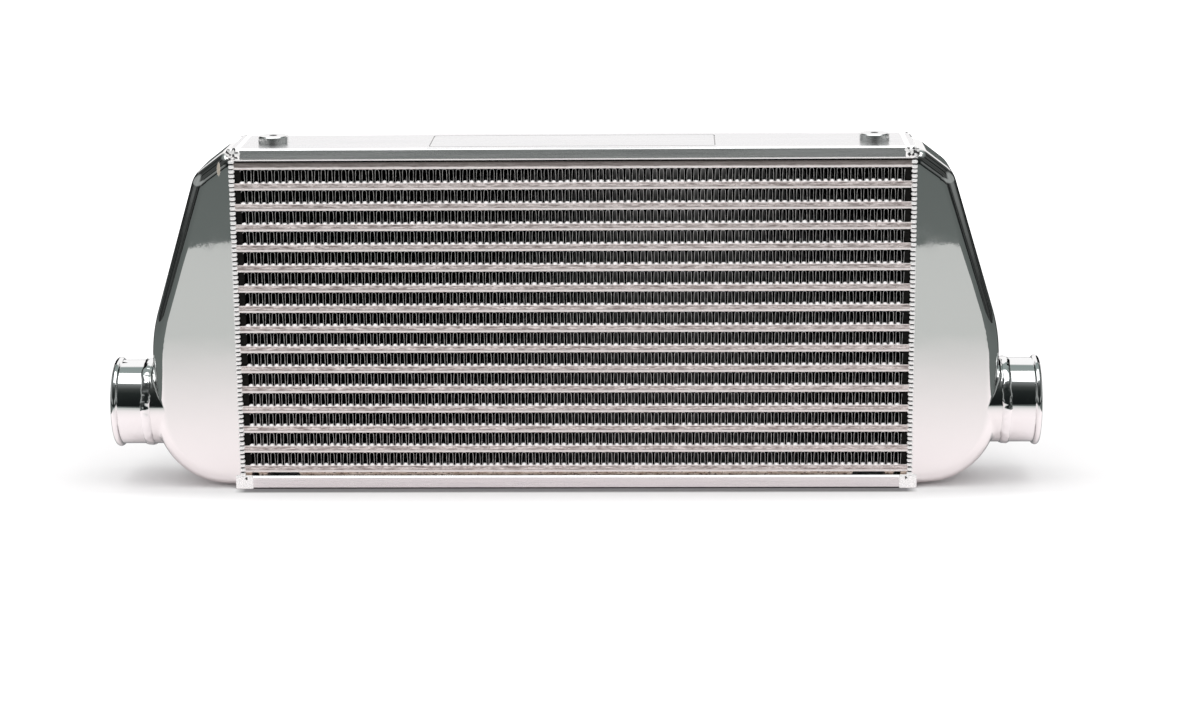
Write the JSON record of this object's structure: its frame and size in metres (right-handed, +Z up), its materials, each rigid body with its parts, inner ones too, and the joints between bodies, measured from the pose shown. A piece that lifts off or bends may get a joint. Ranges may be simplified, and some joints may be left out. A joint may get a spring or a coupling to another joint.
{
  "type": "intercooler",
  "caption": "Front-mount air-to-air intercooler: a bar-and-plate core between two polished cast side tanks, each with a beaded hose stub near its foot.",
  "frame": {"origin": "under the middle of the bottom side plate, on the plane that the part rests on", "axes": "+X from the left tank to the right tank, along the core; +Y from the front face to the rear face; +Z up, from the bottom plate to the bosses"},
  "size_m": [0.834, 0.081, 0.3161],
  "materials": {
    "bar": "raw, furnace brazed",
    "air_fin": "thin sheet, dulled",
    "turbulator": "thin sheet",
    "parting_sheet": "raw, furnace brazed",
    "end_bar": "raw, dulled",
    "spacer": "raw, tanned by the furnace",
    "side_plate": "brushed",
    "boss": "turned",
    "tank": "polished",
    "pipe": "polished",
    "weld": "bright weld bead"
  },
  "bodies": {
    "root": {"air_fin_01": "air_fin", "air_fin_02": "air_fin", "air_fin_03": "air_fin", "air_fin_04": "air_fin", "air_fin_05": "air_fin", "air_fin_06": "air_fin", "air_fin_07": "air_fin", "air_fin_08": "air_fin", "air_fin_09": "air_fin", "air_fin_10": "air_fin", "air_fin_11": "air_fin", "air_fin_12": "air_fin", "air_fin_13": "air_fin", "air_fin_14": "air_fin", "air_fin_15": "air_fin", "bottom_side_plate": "side_plate", "end_bars": "end_bar", "front_bar_01": "bar", "front_bar_02": "bar", "front_bar_03": "bar", "front_bar_04": "bar", "front_bar_05": "bar", "front_bar_06": "bar", "front_bar_07": "bar", "front_bar_08": "bar", "front_bar_09": "bar", "front_bar_10": "bar", "front_bar_11": "bar", "front_bar_12": "bar", "front_bar_13": "bar", "front_bar_14": "bar", "front_bar_15": "bar", "front_bar_16": "bar", "left_pipe_stub": "pipe", "left_tank": "tank", "mounting_bosses": "boss", "parting_sheets": "parting_sheet", "rear_bar_01": "bar", "rear_bar_02": "bar", "rear_bar_03": "bar", "rear_bar_04": "bar", "rear_bar_05": "bar", "rear_bar_06": "bar", "rear_bar_07": "bar", "rear_bar_08": "bar", "rear_bar_09": "bar", "rear_bar_10": "bar", "rear_bar_11": "bar", "rear_bar_12": "bar", "rear_bar_13": "bar", "rear_bar_14": "bar", "rear_bar_15": "bar", "rear_bar_16": "bar", "right_pipe_stub": "pipe", "right_tank": "tank", "spacer_strips": "spacer", "stub_welds": "weld", "tank_welds": "weld", "top_side_plate": "side_plate", "turbulators": "turbulator"}
  },
  "joints": []
}
